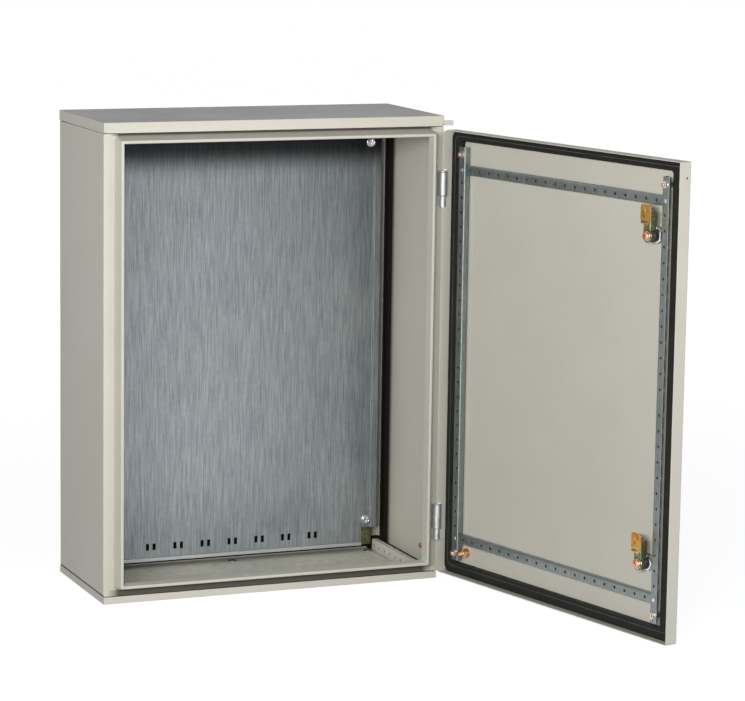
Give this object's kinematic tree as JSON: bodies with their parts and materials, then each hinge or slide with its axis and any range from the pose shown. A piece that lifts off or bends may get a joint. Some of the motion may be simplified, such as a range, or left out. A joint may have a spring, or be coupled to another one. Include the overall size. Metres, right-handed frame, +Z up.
{
  "type": "wall enclosure",
  "caption": "sheet-steel wall enclosure with a side-hinged gasketed door, quarter-turn latches, perforated door frame and galvanised mounting plate",
  "frame": {"origin": "centre of the four wall-fixing holes, on the outside of the back", "axes": "+X towards the hinge side, +Y into the wall (the front faces -Y), +Z up"},
  "size_m": [0.7638, 0.8349, 0.8],
  "materials": {
    "body_paint": "fine-textured powder coat",
    "galvanised": "galvanised, faint rolling lines",
    "zinc": "bright zinc plating",
    "yellow_zinc": "yellow passivated",
    "copper": "copper plated",
    "brass": "yellow metal",
    "foam": "foamed in place, matt",
    "dark_plastic": "moulded, matt",
    "die_cast": "die cast"
  },
  "bodies": {
    "cabinet": {"body_shell": "body_paint", "front_frame": "body_paint", "top_cover": "body_paint", "cover_lug": "body_paint", "bottom_cover": "body_paint", "rear_strips": "body_paint", "gland_plate": "galvanised", "gland_gasket": "foam", "gland_screws": "zinc", "mounting_plate": "galvanised", "plate_brackets": "yellow_zinc", "plate_spacers": "zinc", "plate_screws": "zinc", "plate_nuts": "zinc", "depth_rail_bottom_left": "body_paint", "depth_rail_bottom_right": "body_paint", "depth_rail_top_left": "body_paint", "depth_rail_top_right": "body_paint", "body_earth_bush": "copper", "hinge_leaf_upper": "zinc", "hinge_leaf_lower": "zinc", "hinge_studs": "copper", "hinge_nuts": "zinc"},
    "door": {"door_panel": "body_paint", "door_gasket": "foam", "door_rail_hinge_side": "galvanised", "door_rail_latch_side": "galvanised", "door_rail_top": "galvanised", "door_rail_bottom": "galvanised", "rail_rivets": "galvanised", "rail_studs": "copper", "rail_nuts": "zinc", "door_earth_stud": "copper", "door_earth_nut": "brass", "door_leaf_upper": "zinc", "door_leaf_lower": "zinc", "hinge_pins": "zinc", "hinge_washers": "zinc", "lock_housings": "dark_plastic", "lock_nuts": "zinc"},
    "upper_latch": {"upper_insert": "die_cast", "upper_cam": "yellow_zinc", "upper_cam_screw": "brass"},
    "lower_latch": {"lower_insert": "die_cast", "lower_cam": "yellow_zinc", "lower_cam_screw": "brass"}
  },
  "joints": [
    {"name": "door_hinge", "type": "hinge", "parent": "cabinet", "child": "door", "pos_m": [0.297, -0.2572, 0], "axis": [0, 0, 1], "range_deg": [-103.5, 26.5]},
    {"name": "upper_latch_turn", "type": "hinge", "parent": "door", "child": "upper_latch", "pos_m": [0.41979, -0.76867, 0.2545], "axis": [0.9724, 0.2334, 0], "range_deg": [0, 90]},
    {"name": "lower_latch_turn", "type": "hinge", "parent": "door", "child": "lower_latch", "pos_m": [0.41979, -0.76867, -0.269], "axis": [0.9724, 0.2334, 0], "range_deg": [0, 90]}
  ]
}
